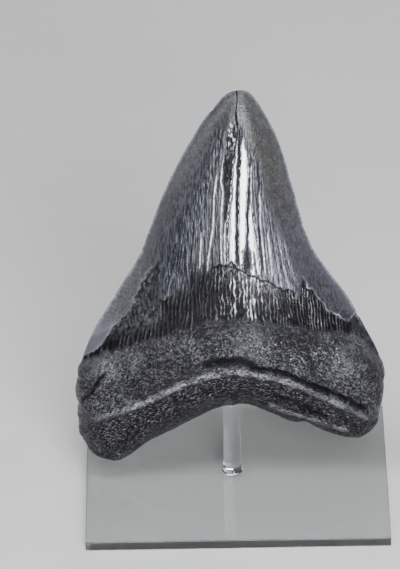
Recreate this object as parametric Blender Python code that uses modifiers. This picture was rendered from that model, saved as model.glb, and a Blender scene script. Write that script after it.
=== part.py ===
"""Megalodon tooth held upright on a clear acrylic stand: a square plate, a round rod and the tooth.

Metres, +Z up. The origin is the middle of the plate's underside, and the tooth shows its lingual
face, the full and rounded one, to -Y. Run with: blender --background --python part.py

The tooth's outline and relief are given in its own plane, in millimetres: s runs across, to +X, t runs
up the tooth from the mouth of its socket, and depth runs out of the lingual face. The whole tooth
then leans back on its rod.
"""

import math

import bmesh
import bpy
import numpy as np

MM = 0.001

# Stand
PLATE_SIDE = 101.6 * MM
PLATE_THICKNESS = 3.0 * MM
PLATE_CHAMFER = 0.3 * MM
ROD_RADIUS = 3.0 * MM
ROD_SIDES = 40
ROD_X = -1.4 * MM
FOOT_FLARE = 0.5 * MM
FOOT_HEIGHT = 1.6 * MM
FOOT_STEPS = 4
CONTACT_GAP = 0.3 * MM

# Where the tooth sits on the rod
TOOTH_X = -1.05 * MM
SOCKET_MOUTH = PLATE_THICKNESS + 25.9 * MM
SOCKET_DEPTH = 11.0 * MM
LEAN = math.radians(10)

# How fine the tooth's surface is before it is thinned out, how far its grid crowds towards the rim (0 is
# even), and the share of triangles kept
COLUMNS = 150
ROWS = 150
RIM_CROWDING = 0.55
SHARE_KEPT = 0.1

# Outline, as (s, t) in millimetres: each stretch is a smooth curve through its points
TIP = [(-2.3, 105.8), (0.6, 107.8), (4.1, 108.5), (6.6, 107.9), (8.4, 106.4)]
LEFT_EDGE = [
    (-2.3, 105.8), (-8.2, 98.6), (-12.9, 91.1), (-18.6, 80.7), (-23.4, 70.2), (-27.4, 59.7),
    (-31.6, 49.9), (-36.2, 42.6), (-42.4, 32.6), (-46.2, 26.3), (-49.4, 19.0), (-51.9, 11.9),
    (-52.9, 4.9), (-52.6, -0.8), (-51.9, -9.9),
]
RIGHT_EDGE = [
    (8.4, 106.4), (11.1, 102.3), (15.3, 94.2), (18.2, 86.0), (21.7, 72.9), (25.2, 59.6),
    (28.7, 51.7), (33.3, 44.6), (38.6, 37.4), (42.2, 31.0), (45.2, 25.0), (49.3, 17.0),
    (51.3, 10.1), (50.7, 0.7), (48.3, -8.8),
]
BASE_EDGE = [
    (-51.9, -9.9), (-47.6, -17.2), (-40.2, -20.0), (-35.2, -18.1), (-28.3, -13.1),
    (-19.7, -8.8), (-12.9, -5.2), (-3.7, -1.2), (3.4, -0.3), (12.5, -3.6), (19.5, -6.7),
    (24.5, -7.2), (29.5, -10.0), (34.5, -11.8), (39.5, -13.2), (44.4, -12.8), (48.3, -8.8),
]

# Depth of each face from the plane of the cutting edges, against t for the crown
LINGUAL_CROWN = [
    (35.0, 13.0), (45.0, 12.0), (60.0, 10.6), (75.0, 8.9), (88.0, 7.0), (98.0, 4.9),
    (104.0, 3.3), (107.0, 1.9), (108.5, 0.6),
]
LABIAL_CROWN = [
    (30.0, 5.5), (45.0, 5.2), (60.0, 4.6), (75.0, 3.9), (88.0, 3.1), (98.0, 2.3), (104.0, 1.7),
    (107.0, 1.1), (108.5, 0.4),
]
# and for the root against its share of the height from the base (0) to the foot of the crown (1).
LINGUAL_ROOT = [(-0.2, 7.0), (0.0, 8.0), (0.12, 10.0), (0.25, 12.6), (0.42, 15.4), (0.6, 16.9),
                (0.75, 16.7), (0.88, 15.0), (1.0, 12.4), (1.3, 9.5)]
LABIAL_ROOT = 7.2
# Across the crown each face falls to the edges as 1 - place ** flatness, place being 1 at the edge
CROWN_FLATNESS = 2.7
CROWN_SHOULDER = 1.12
LABIAL_FLATNESS = 2.4
# The root's rounded rim, the share by which its lingual half thins out to its lobes, and the share by
# which its labial half is hollowed about the middle
ROOT_EDGE_RADIUS = 9.0
LOBE_THINNING = 0.33
LOBE_FROM = 8.0
LOBE_TO = 50.0
LABIAL_HOLLOW = 0.12
LABIAL_HOLLOW_REACH = 30.0
# How far the cutting edges lie behind the root's edge, reached between two heights, and how much of it
# the labial side of the root follows
EDGE_PLANE_SETBACK = 4.0
EDGE_PLANE_FROM = 8.0
EDGE_PLANE_TO = 40.0
EDGE_PLANE_DROP = 0.287
LABIAL_SETBACK = 0.6

# Foot of the crown on the lingual face, and on the labial face, where the enamel reaches lower
LINGUAL_ARCH = [
    (-54.0, 14.0), (-47.0, 18.5), (-37.0, 22.5), (-23.0, 28.0), (-10.0, 32.6), (3.0, 33.6),
    (14.0, 32.0), (24.0, 29.2), (37.0, 26.8), (44.0, 22.6), (50.0, 14.0),
]
LABIAL_DROP = 7.0
# Heights above and below that foot between which crown passes into root
LINGUAL_PASSAGE = (6.5, -3.5)
LABIAL_PASSAGE = (12.0, -8.0)

# The cracked, grooved middle of the lingual enamel, inside this line
GROOVED = [
    (1.0, 101.8), (-4.2, 95.7), (-8.2, 87.8), (-15.9, 71.4), (-22.2, 57.9), (-24.0, 50.5),
    (-24.7, 36.0), (24.0, 36.0), (24.5, 44.1), (20.4, 56.0), (12.9, 74.9), (9.5, 88.5), (5.0, 99.1),
]
# Where the enamel has come off altogether, inside this line, and how thick it is
BROKEN = [
    (-23.9, 51.8), (-24.7, 38.1), (-20.0, 40.4), (-9.2, 46.8), (-5.2, 51.0), (0.1, 51.5),
    (6.7, 47.2), (18.5, 41.6), (22.0, 38.4), (24.2, 44.6), (29.0, 37.5), (35.0, 31.5),
    (39.5, 28.4), (42.2, 30.7), (55.0, 24.0), (60.0, -30.0), (-60.0, -30.0), (-60.0, 10.0),
    (-48.5, 18.5), (-42.9, 24.3), (-39.5, 28.5), (-33.2, 36.2), (-30.8, 41.3),
]
ENAMEL_THICKNESS = 0.7
ENAMEL_EDGE = 1.0

# Lengthwise ridges there: their pitch halfway up, how far they fan out lower down, and their height
RIDGE_PITCH = 2.9
RIDGE_HEIGHT = 0.35
RIDGE_OFFSET = 0.35
RIDGE_FADE = 3.0
FAN_LEVEL = 72.0
FAN_RATE = 0.014
FAN_REACH = 20.0
FAN_POWER = 1.3

# Relief of the root's lingual face: each line's points, its height (negative is a groove), and the half
# widths of its flat top and of the whole
ROOT_LINES = [
    ([(-46.0, -2.0), (-34.8, 1.8), (-28.0, 5.3), (-14.4, 11.7), (-2.5, 15.0), (4.3, 15.0), (10.0, 13.6),
      (16.1, 12.2), (22.8, 9.2), (36.3, 1.8), (44.4, -3.4)], 1.1, 0.8, 2.8),
    ([(-8.0, 18.4), (-3.4, 19.2), (2.7, 19.6), (6.7, 17.6)], -1.0, 0.3, 2.4),
    ([(7.6, 16.6), (17.8, 14.4), (25.5, 9.9), (35.6, 5.2), (43.7, -0.2)], -1.3, 0.2, 1.9),
    ([(14.0, 5.4), (20.4, 2.9), (26.0, -0.8), (31.0, -3.4)], -0.8, 0.2, 1.9),
    ([(12.5, 1.2), (17.6, -0.9), (24.3, -3.8), (31.1, -6.4), (37.8, -8.6)], 0.8, 0.3, 1.9),
    ([(-41.2, 14.8), (-45.0, 10.7), (-49.7, 5.3), (-51.8, 1.7)], -0.9, 0.0, 1.5),
]
# Low swells and hollows of the root, as (s, t, height, radius)
SWELLS = [(6.5, 25.5, 0.7, 6.5), (-44.0, 16.0, 0.6, 6.0), (25.0, 22.0, -0.6, 8.0), (38.0, 17.0, 0.5, 7.0)]


def smoothstep(start, end, x):
    x = np.clip((x - start) / (end - start), 0.0, 1.0)
    return x * x * (3.0 - 2.0 * x)


def curve_through(points, shares, steps=30):
    """Points at the given shares of the length of a Catmull-Rom curve through the points."""
    p = np.array(points)
    p = np.vstack([2 * p[0] - p[1], p, 2 * p[-1] - p[-2]])
    f = np.linspace(0, 1, steps, endpoint=False)[:, None]
    runs = []
    for a, b, c, d in zip(p, p[1:], p[2:], p[3:]):
        runs.append(b + 0.5 * f * (c - a + f * (2 * a - 5 * b + 4 * c - d + f * (3 * (b - c) + d - a))))
    run = np.vstack(runs + [p[-2:-1]])
    length = np.concatenate([[0.0], np.cumsum(np.hypot(*np.diff(run, axis=0).T))])
    at = np.asarray(shares) * length[-1]
    return np.column_stack([np.interp(at, length, run[:, 0]), np.interp(at, length, run[:, 1])])


def along(points, x):
    """Value at x of a smooth curve through (x, value) pairs."""
    xs, values = curve_through(points, np.linspace(0, 1, 200)).T
    return np.interp(x, xs, values)


def line_distance(s, t, points):
    """Distance of each point (s, t) from the line through the points."""
    nearest = np.full(s.shape, np.inf)
    for (s0, t0), (s1, t1) in zip(points[:-1], points[1:]):
        ds, dt = s1 - s0, t1 - t0
        share = np.clip(((s - s0) * ds + (t - t0) * dt) / (ds * ds + dt * dt), 0, 1)
        nearest = np.minimum(nearest, np.hypot(s - s0 - share * ds, t - t0 - share * dt))
    return nearest


def inside(s, t, points):
    """Whether each point (s, t) lies inside the closed line through the points."""
    crossings = np.zeros(s.shape, int)
    for (s0, t0), (s1, t1) in zip(points, points[1:] + points[:1]):
        if t0 != t1:
            crossings += ((t0 > t) != (t1 > t)) & (s < s0 + (t - t0) * (s1 - s0) / (t1 - t0))
    return crossings % 2 == 1


class Outline:
    """The tooth's outline, as smooth curves and as its width and base by height and place."""

    def __init__(self):
        fine = np.linspace(0, 1, 200)
        tip, left, right, base = (curve_through(c, fine) for c in (TIP, LEFT_EDGE, RIGHT_EDGE, BASE_EDGE))
        top = int(np.argmax(tip[:, 1]))
        self.left = np.vstack([left[::-1], tip[:top + 1]])
        self.right = np.vstack([right[::-1], tip[top:][::-1]])
        self.base = base
        self.arch = curve_through(LINGUAL_ARCH, fine)
        closed = np.vstack([left[::-1], tip[1:-1], right, base[::-1]])
        self.closed = [tuple(p) for p in closed[::2]]

    def point(self, u, v):
        """Coons patch over the outline: u from the left edge to the right, v from the tip to the base."""
        top, bottom = curve_through(TIP, u), curve_through(BASE_EDGE, u)
        left, right = curve_through(LEFT_EDGE, v), curve_through(RIGHT_EDGE, v)
        u, v = u[:, None], v[:, None]
        corners = ((1 - v) * ((1 - u) * np.array(TIP[0]) + u * np.array(TIP[-1]))
                   + v * ((1 - u) * np.array(BASE_EDGE[0]) + u * np.array(BASE_EDGE[-1])))
        return ((1 - v) * top + v * bottom + (1 - u) * left + u * right - corners).T

    def across(self, t):
        """Centre and half width of the tooth at t."""
        left = np.interp(t, self.left[:, 1], self.left[:, 0])
        right = np.interp(t, self.right[:, 1], self.right[:, 0])
        return (left + right) / 2, np.maximum((right - left) / 2, 0.3)


def set_back(t):
    """How far the cutting edges lie behind the root's edge. They sink by EDGE_PLANE_DROP of it."""
    return EDGE_PLANE_SETBACK * smoothstep(EDGE_PLANE_FROM, EDGE_PLANE_TO, t)


def smooth_body(outline, s, t):
    """Depth of the lingual and the labial face, without relief."""
    centre, half = outline.across(t)
    place = np.clip((s - centre) / half, -1, 1)
    rim = line_distance(s, t, outline.closed)
    rounding = np.sqrt(np.maximum(1 - (1 - np.clip(rim / ROOT_EDGE_RADIUS, 0, 1)) ** 2, 0))
    setback = set_back(t)

    base = np.interp(s, outline.base[:, 0], outline.base[:, 1])
    arch = np.interp(s, outline.arch[:, 0], outline.arch[:, 1])
    height = (t - base) / np.maximum(arch - base, 1.0)
    thinning = 1 - LOBE_THINNING * smoothstep(LOBE_FROM, LOBE_TO, np.abs(s))

    crown = along(LINGUAL_CROWN, t) * (1 - np.abs(place) ** CROWN_FLATNESS) ** CROWN_SHOULDER
    root = (along(LINGUAL_ROOT, height) * thinning + setback) * rounding
    share = smoothstep(*LINGUAL_PASSAGE, t - arch)
    lingual = (1 - share) * crown + share * root - setback

    crown = along(LABIAL_CROWN, t) * (1 - np.abs(place) ** LABIAL_FLATNESS)
    hollow = 1 - LABIAL_HOLLOW * smoothstep(LABIAL_HOLLOW_REACH, 0, np.abs(s))
    root = (LABIAL_ROOT * hollow - LABIAL_SETBACK * setback) * rounding
    share = smoothstep(*LABIAL_PASSAGE, t - arch + LABIAL_DROP)
    labial = -(1 - share) * crown - share * root - setback
    return lingual, labial, rim, arch


def patch(s, t, points, fade):
    """1 inside the closed line through the points and 0 outside, fading over a width inside it."""
    edge = line_distance(s, t, points + points[:1])
    return np.where(inside(s, t, points), smoothstep(0, fade, edge), 0.0)


def lingual_relief(s, t, rim, arch):
    """Step at the enamel's broken edge, the lengthwise ridges, and the root's ridges and grooves."""
    crown = smoothstep(-2.0, 1.0, t - arch)
    broken = patch(s, t, BROKEN, ENAMEL_EDGE)
    grooved = np.maximum(patch(s, t, GROOVED, RIDGE_FADE), patch(s, t, BROKEN, RIDGE_FADE))
    fan = s / np.maximum(1 + FAN_RATE * (FAN_LEVEL - t) * (np.abs(s) / FAN_REACH) ** FAN_POWER, 0.5)
    ridges = np.cos(2 * math.pi * (fan - RIDGE_OFFSET) / RIDGE_PITCH)
    relief = crown * (RIDGE_HEIGHT * ridges * grooved - ENAMEL_THICKNESS * broken)
    for s0, t0, height, radius in SWELLS:
        relief += height * np.exp(-((s - s0) ** 2 + (t - t0) ** 2) / radius ** 2)
    for points, height, flat_half, half_width in ROOT_LINES:
        line = curve_through(points, np.linspace(0, 1, 40))
        fade = 1 - smoothstep(flat_half, half_width, line_distance(s, t, line))
        relief += height * fade * smoothstep(1.0, 6.0, rim)
    return relief * smoothstep(0.0, 1.5, rim)


def labial_relief(t, rim, arch):
    """Step down onto the root at the foot of the enamel."""
    below = smoothstep(0.8, -0.5, t - arch + LABIAL_DROP)
    return ENAMEL_THICKNESS * below * smoothstep(1.0, 4.0, rim)


def clear_scene():
    for old in list(bpy.data.objects):
        bpy.data.objects.remove(old, do_unlink=True)


def new_collection(name):
    collection = bpy.data.collections.new(name)
    bpy.context.scene.collection.children.link(collection)
    return collection


def new_material(name, colour, roughness, transmission=0.0, ior=1.5):
    material = bpy.data.materials.new(name)
    material.use_nodes = True
    shader = material.node_tree.nodes["Principled BSDF"]
    shader.inputs["Base Color"].default_value = (*colour, 1.0)
    shader.inputs["Roughness"].default_value = roughness
    shader.inputs["Metallic"].default_value = 0.0
    shader.inputs["Transmission Weight"].default_value = transmission
    shader.inputs["IOR"].default_value = ior
    return material


def new_object(name, bm, collection, material=None, sharp_angle=30):
    mesh = bpy.data.meshes.new(name)
    bm.to_mesh(mesh)
    bm.free()
    mesh.shade_smooth()
    mesh.set_sharp_from_angle(angle=math.radians(sharp_angle))
    obj = bpy.data.objects.new(name, mesh)
    collection.objects.link(obj)
    if material:
        mesh.materials.append(material)
    return obj


def add_face_of_tooth(bm, outline, lingual_side):
    """A grid shaped into one face of the tooth, out to the outline that both faces share."""
    grid = bmesh.ops.create_grid(bm, x_segments=COLUMNS, y_segments=ROWS, size=1.0)["verts"]
    flat = np.array([v.co[:2] for v in grid])
    share = (flat + 1) / 2
    crowded = (1 - RIM_CROWDING) * share + RIM_CROWDING * (1 - np.cos(math.pi * share)) / 2
    s, t = outline.point(crowded[:, 0], 1 - crowded[:, 1])
    lingual, labial, rim, arch = smooth_body(outline, s, t)
    lingual += lingual_relief(s, t, rim, arch)
    labial += labial_relief(t, rim, arch)
    on_rim = np.max(np.abs(flat), axis=1) > 1 - 1e-6
    depth = np.where(on_rim, (lingual + labial) / 2, lingual if lingual_side else labial)
    sunk = t - EDGE_PLANE_DROP * set_back(t)
    for vert, x, y, z in zip(grid, s * MM, -depth * MM, sunk * MM):
        vert.co = (x, y, z)
    if not lingual_side:
        faces = {face for vert in grid for face in vert.link_faces}
        bmesh.ops.reverse_faces(bm, faces=list(faces))


def build_tooth(collection, guides):
    bm = bmesh.new()
    outline = Outline()
    add_face_of_tooth(bm, outline, lingual_side=True)
    add_face_of_tooth(bm, outline, lingual_side=False)
    bmesh.ops.remove_doubles(bm, verts=bm.verts, dist=0.001 * MM)
    stone = new_material("fossil enamel and dentine", (0.085, 0.085, 0.095), 0.42)
    tooth = new_object("tooth", bm, collection, stone, sharp_angle=50)
    tooth.location = (TOOTH_X, 0.0, SOCKET_MOUTH)
    tooth.rotation_euler = (-LEAN, 0.0, 0.0)

    thin = tooth.modifiers.new("fewer triangles", "DECIMATE")
    thin.ratio = SHARE_KEPT

    drill = bmesh.new()
    depth = SOCKET_DEPTH + CONTACT_GAP
    bmesh.ops.create_cone(drill, cap_ends=True, segments=ROD_SIDES, radius1=ROD_RADIUS + CONTACT_GAP,
                          radius2=ROD_RADIUS + CONTACT_GAP, depth=2 * depth)
    cutter = new_object("socket drill", drill, guides)
    cutter.location = (ROD_X, 0.0, SOCKET_MOUTH)
    cutter.hide_render = True
    cutter.display_type = "WIRE"
    socket = tooth.modifiers.new("socket", "BOOLEAN")
    socket.operation = "DIFFERENCE"
    socket.solver = "EXACT"
    socket.object = cutter
    return tooth


def build_rod(collection, acrylic):
    """A turned rod with a small fillet of cement round its foot, up into the tooth's socket."""
    foot = PLATE_THICKNESS + CONTACT_GAP
    top = SOCKET_MOUTH + SOCKET_DEPTH
    profile = [(0.0, top), (ROD_RADIUS - PLATE_CHAMFER, top), (ROD_RADIUS, top - PLATE_CHAMFER)]
    for step in range(FOOT_STEPS + 1):
        turn = step / FOOT_STEPS * math.pi / 2
        profile.append((ROD_RADIUS + FOOT_FLARE * (1 - math.cos(turn)),
                        foot + FOOT_HEIGHT * (1 - math.sin(turn))))
    profile.append((0.0, foot))
    bm = bmesh.new()
    verts = [bm.verts.new((x, 0.0, z)) for x, z in profile]
    for a, b in zip(verts, verts[1:]):
        bm.edges.new((a, b))
    rod = new_object("stand_rod", bm, collection, acrylic)
    rod.location = (ROD_X, 0.0, 0.0)
    screw = rod.modifiers.new("turn", "SCREW")
    screw.steps = ROD_SIDES
    screw.render_steps = ROD_SIDES
    screw.use_merge_vertices = True
    screw.merge_threshold = 0.00001
    return rod


def build_plate(collection, acrylic):
    bm = bmesh.new()
    bmesh.ops.create_cube(bm, size=1.0)
    bmesh.ops.scale(bm, vec=(PLATE_SIDE, PLATE_SIDE, PLATE_THICKNESS), verts=bm.verts)
    plate = new_object("stand_base", bm, collection, acrylic)
    plate.location = (0.0, 0.0, PLATE_THICKNESS / 2)
    bevel = plate.modifiers.new("eased edges", "BEVEL")
    bevel.width = PLATE_CHAMFER
    bevel.segments = 2
    return plate


def main():
    clear_scene()
    parts = new_collection("megalodon tooth on stand")
    guides = new_collection("cutters")
    acrylic = new_material("clear acrylic", (0.95, 0.97, 0.97), 0.05, transmission=1.0, ior=1.49)
    build_tooth(parts, guides)
    build_rod(parts, acrylic)
    build_plate(parts, acrylic)


main()
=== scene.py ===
"""Looks of a megalodon tooth on its clear acrylic stand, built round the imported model.

The tooth is one closed mesh, made of two grids that share the tooth's outline: the lingual face (full,
grooved, towards -Y) and the labial face. Outline and relief are given in the tooth's own plane, in
millimetres: s across, t up from the mouth of its socket, depth out of the lingual face.
"""

import math
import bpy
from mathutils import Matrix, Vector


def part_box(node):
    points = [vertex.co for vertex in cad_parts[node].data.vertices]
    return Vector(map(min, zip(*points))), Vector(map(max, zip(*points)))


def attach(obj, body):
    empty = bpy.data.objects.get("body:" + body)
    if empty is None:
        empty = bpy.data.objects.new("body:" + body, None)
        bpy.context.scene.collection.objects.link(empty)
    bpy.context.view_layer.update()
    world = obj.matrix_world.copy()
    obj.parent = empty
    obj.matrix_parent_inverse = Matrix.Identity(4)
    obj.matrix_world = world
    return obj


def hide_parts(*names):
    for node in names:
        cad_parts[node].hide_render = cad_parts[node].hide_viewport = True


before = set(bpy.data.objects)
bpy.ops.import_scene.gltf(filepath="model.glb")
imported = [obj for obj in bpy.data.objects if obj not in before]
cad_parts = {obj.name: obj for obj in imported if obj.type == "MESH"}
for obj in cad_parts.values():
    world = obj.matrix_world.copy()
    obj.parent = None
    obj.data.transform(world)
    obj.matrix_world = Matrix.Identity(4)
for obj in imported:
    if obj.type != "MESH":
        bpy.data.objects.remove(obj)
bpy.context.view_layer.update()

from types import SimpleNamespace

import bmesh
import bpy
import numpy as np
from mathutils import Matrix, Vector

MM = 0.001

# Stand, as built in the frame
ROD_RADIUS = 3.0 * MM
ROD_X = -1.4 * MM
TOOTH_X = -1.05 * MM
SOCKET_HEIGHT = 25.9 * MM
LEAN = math.radians(10)
PLATE_BEVEL = 0.35 * MM
FOOT_FLARE = 0.5 * MM
FOOT_RISE = 1.6 * MM
FOOT_STEPS = 8
FOOT_GAP = 0.02 * MM
ROD_END_BEVEL = 0.3 * MM

# Camera: a long lens, its aim given by where the rod's foot lies in the 400 x 569 frame
ELEVATION = math.radians(26.0)
ROLL = math.radians(0.93)
FRAME_WIDTH = 400
FRAME_HEIGHT = 569
PIXELS_PER_MM = 2.953
FOCAL_PIXELS = 7176
SENSOR = 36.0
FOOT_PIXEL = (232.5, 470.0)

# Tooth mesh: its grid, and how much of the labial face is kept, and how far out it is thinned
COLUMNS = 310
ROWS = 280
ROW_SHIFT = 0.13
COLUMN_CROWDING = 0.35
BACK_SHARE = 0.12
KEPT_RINGS = 0.975

# Outline of the tooth, as (s, t)
TIP = [(-2.3, 105.8), (0.6, 107.8), (4.1, 108.5), (6.6, 107.9), (8.4, 106.4)]
LEFT_EDGE = [
    (-2.3, 105.8), (-8.2, 98.6), (-12.9, 91.1), (-18.6, 80.7), (-23.4, 70.2), (-27.4, 59.7),
    (-31.6, 49.9), (-36.2, 42.6), (-42.4, 32.6), (-46.2, 26.3), (-49.4, 19), (-51.9, 11.9),
    (-52.9, 4.9), (-52.6, -0.8), (-51.9, -9.9),
]
RIGHT_EDGE = [
    (8.4, 106.4), (11.1, 102.3), (15.3, 94.2), (18.2, 86), (21.7, 72.9), (25.2, 59.6), (28.7, 51.7),
    (33.3, 44.6), (38.6, 37.4), (42.2, 31), (45.2, 25), (49.3, 17), (51.3, 10.1), (50.7, 0.7),
    (48.3, -8.8),
]
BASE_EDGE = [
    (-51.9, -9.9), (-47.6, -17.2), (-40.2, -20), (-35.2, -18.1), (-28.3, -13.1), (-19.7, -8.8),
    (-12.9, -5.2), (-3.7, -1.2), (3.4, -0.3), (12.5, -3.6), (19.5, -6.7), (24.5, -7.2), (29.5, -10),
    (34.5, -11.8), (39.5, -13.2), (44.4, -12.8), (48.3, -8.8),
]
# Thickness: (t, depth) up the crown, and (height, depth) up the root, whose height is 1 at the enamel's
# foot. The root is thinner in its lobes, and slightly hollow at the middle of its labial face
LINGUAL_CROWN = [
    (35, 13), (45, 12), (60, 10.6), (75, 8.9), (88, 7), (98, 4.9), (104, 3.3), (107, 1.9), (108.5, 0.6),
]
CROWN_FLATNESS = 2.7
CROWN_SHOULDER = 1.12
LABIAL_CROWN = [
    (30, 5.5), (45, 5.2), (60, 4.6), (75, 3.9), (88, 3.1), (98, 2.3), (104, 1.7), (107, 1.1),
    (108.5, 0.4),
]
LINGUAL_ROOT = [(-0.2, 7), (0, 8), (0.12, 10), (0.25, 12.6), (0.42, 15.4), (0.6, 16.9),
                (0.75, 16.7), (0.88, 15), (1, 12.4), (1.3, 9.5)]
LABIAL_FLATNESS = 2.4
LABIAL_ROOT = 7.2
LABIAL_HOLLOW = 0.12
LABIAL_HOLLOW_REACH = 30.0
LABIAL_SETBACK = 0.6
ROOT_MIDDLE = 15.0
ROOT_EDGE_RADIUS = 9.0
LOBE_THINNING = 0.33
LOBE_FROM = 8.0
LOBE_TO = 50.0
# How far the cutting edges lie behind the root's edge, between which t that grows, and how far they sink
EDGE_PLANE_SETBACK = 4.0
EDGE_PLANE_FROM = 8.0
EDGE_PLANE_TO = 40.0
EDGE_PLANE_DROP = 0.287
# Foot of the lingual enamel, as (s, t). The labial enamel reaches lower by LABIAL_DROP
LINGUAL_ARCH = [
    (-54, 14), (-47, 18.5), (-37, 22.5), (-23, 28), (-10, 32.6), (3, 33.6), (14, 32), (24, 29.2),
    (37, 26.8), (44, 22.6), (50, 14),
]
LABIAL_DROP = 7.0
# Where the crown's form passes into the root's, by height over the enamel's foot
LINGUAL_PASSAGE = (6.5, -3.5)
LABIAL_PASSAGE = (12, -8)

# The cracked, grooved middle of the lingual enamel, and where the enamel has come off altogether
GROOVED = [
    (2.6, 99), (-1.9, 97.8), (-4.2, 95.2), (-8.2, 87.8), (-12.4, 79.7), (-15.9, 71.4), (-19.3, 63.6),
    (-22.2, 57.9), (-24, 50.5), (-24.7, 36), (24, 36), (24.5, 44.1), (23.2, 48), (20.4, 56),
    (18.1, 60.9), (15.7, 68.7), (12.9, 74.9), (11.4, 81.7), (9.5, 88.5), (5.6, 96),
]
BROKEN = [
    (-23.9, 51.8), (-24.7, 38.1), (-20, 40), (-16.5, 42.6), (-14, 46.2), (-12.1, 48.1), (-9.7, 48.6),
    (-7.4, 48), (-6.3, 50.3), (-4.3, 51.2), (-1.9, 50.5), (-0.5, 51), (0.3, 52), (1.2, 51.4),
    (1.7, 50.1), (3.8, 49), (6.7, 47.2), (8.5, 46.6), (10.6, 45.2), (13, 44.4), (16.6, 42.6),
    (18.5, 41.6), (20.6, 40.6), (22, 38.4), (23.6, 39), (24, 44.8), (26.3, 41), (29, 37.5), (32, 33.4),
    (35, 31.5), (39.5, 28.4), (42.2, 30.7), (55, 24), (60, -30), (-60, -30), (-60, 10), (-48.8, 18.2),
    (-45.4, 20.6), (-43.1, 23.2), (-40.8, 26.7), (-37.6, 30), (-33.7, 33.6), (-32.6, 37.3),
    (-30.5, 42.2), (-28, 46.2),
]
ENAMEL_THICKNESS = 0.7
# Bands across the lingual face, each as the s where it starts, is full, starts to fade and ends
FADING_BREAK = (-22.5, -19, -9, -4)
BREAK_SHADOW = (-6.5, -4, 20, 23)
CHIPPED_RIGHT = (23, 25, 41, 44)
LIT_RIBS = (-8, 0, 8, 14)
SCALY_DENTINE = (-4, 0, 13, 18)
# How much painted light pales the smooth enamel on the left lobe, and along its cutting edges
LOBE_PAINTED_LIGHT = 0.62
RIM_PAINTED_LIGHT = 0.15
# Strips of enamel, which fan out below a level, and ribs of dentine, which are finer at the right
FAN_LEVEL = 72.0
FAN_RATE = 0.014
FAN_REACH = 20.0
FAN_POWER = 1.3
STRIP_PITCH = 1.15
RIB_PITCH = 1.30
FINE_RIB_PITCH = 0.95
FINE_RIBS_FROM = 14.0

# Cracks between the broad strips of enamel, as (t, s): points, depth and half width
CRACKS = [
    ([(98, 3.7), (89.2, 3.3), (80.2, 2.8), (74, 2.5), (68.9, 2.3), (60, 2.2), (50.5, 2.1)],
     0.45, 0.30),
    ([(88, 7.5), (79.9, 7), (74.4, 6.3), (68.6, 6), (61.9, 5.8), (55, 5.6), (49.6, 5.4)],
     0.45, 0.27),
    ([(56.5, 5.5), (49, 5.5)], 0.60, 1.20),
    ([(55.6, 8), (50.7, 8.2), (47.3, 8.7)], 0.40, 0.22),
    ([(86, 9.6), (79.8, 9.9), (72.7, 9.8), (61.4, 9.8), (56.8, 10.1), (52.2, 10.5), (48.5, 11)],
     0.40, 0.35),
    ([(112, 2.9), (104.4, 2.9), (102, 2.6)], 0.40, 0.20),
    ([(99.2, 4.9), (96.5, 4.6), (93.1, 4.2)], 0.25, 0.20),
    ([(92, 10), (90, 8.9), (86.9, 8.1), (83.4, 7.7)], 0.25, 0.20),
    ([(97.3, -4.2), (92.3, -4.9), (87.3, -6)], 0.25, 0.20),
    ([(98.5, -1.8), (94.2, -2.4), (89.2, -3.3)], 0.25, 0.20),
    ([(103.5, 2.8), (101.5, 2.5), (97.6, 2.8), (92.6, 2.5), (85.9, 1.4)], 0.50, 0.38),
    ([(99.9, 1.3), (92.6, 0.9), (87.6, 0.3), (80.9, -0.6), (74.1, -1.1), (64, -1.6), (51, -1.8)],
     0.35, 0.40),
]
# Numbers of the two cracks that carry the grooves on into the tip
TIP_CRACKS = (5, 10)
# Heights and depths of the relief
STRIP_CRACK_DEPTH = 0.13
BROAD_HEIGHT = 0.16
BROAD_CROWN = 0.06
KNOB_HEIGHT = 0.35
KNOB_SINK = 0.40
RIB_HEIGHT = 0.62
RIB_SINK = 0.35
LABIAL_CRACK_DEPTH = 0.35
# Raised lips of cracks, as (t, s): points, height and half width
LIPS = [
    ([(87.6, -1.6), (83.2, -2.5), (79.2, -2.8), (75.5, -2.2), (69, -2.8), (62.6, -3.1),
      (51.4, -3.1)], 0.14, 0.26),
    ([(82.5, -4.1), (77.8, -4.7), (73.2, -5.3), (65.6, -5.6), (60.5, -6.3), (55.3, -7.1), (51.9, -7.7),
      (48.6, -7.7)], 0.17, 0.28),
    ([(66.5, -1.5), (60.5, -1.8), (55.3, -1.9), (51.4, -1.7)], 0.12, 0.24),
    ([(62, -9.7), (55, -10.1), (49.7, -10.4)], 0.12, 0.24),
    ([(85.5, 7.5), (77.4, 7.1), (72.9, 7.3), (69.6, 6.9)], 0.10, 0.24),
    ([(76, 10.1), (64.1, 10.1), (57.6, 10.7), (47.3, 11.7)], 0.12, 0.26),
    ([(62.7, 12.5), (55.9, 13.1), (46.3, 14)], 0.10, 0.25),
]
# Broad smooth strips, and the dark knobbly strip beside the tip's crack, as (t, left s, right s)
STRIPS = [
    [(95, 2.7, 2.9), (90, 2, 2.9), (86.5, 1.5, 2.8), (80, 0.9, 2.4), (74, 0.2, 2.1),
     (69, -0.7, 1.9), (62.2, -1.2, 1.8), (51, -1.2, 1.5)],
    [(94.5, 4.7, 5), (91.5, 4.4, 5.4), (88.5, 3.9, 5.8), (83.2, 3.3, 6.6), (80, 3.2, 6.6),
     (75.6, 2.9, 5.9), (68.8, 2.7, 5.6), (61.9, 2.6, 5.4), (55, 2.6, 5.1), (50, 2.7, 4.4)],
    [(72, 6.5, 6.9), (66.8, 6.3, 7.9), (61, 6.2, 9.1), (55.6, 6.3, 9.8), (51.5, 6.6, 10.1),
     (47.6, 6.9, 9.8)],
]
KNOBS = [(99.9, 0.6, 2.3), (95.9, -0.1, 2.6), (90.9, -0.9, 2.1), (87, -1.5, 1.2), (84.2, -2, 1),
         (79.9, -2.1, 0.6), (75, -1.6, 0.2), (70, -0.9, -0.5)]

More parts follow.
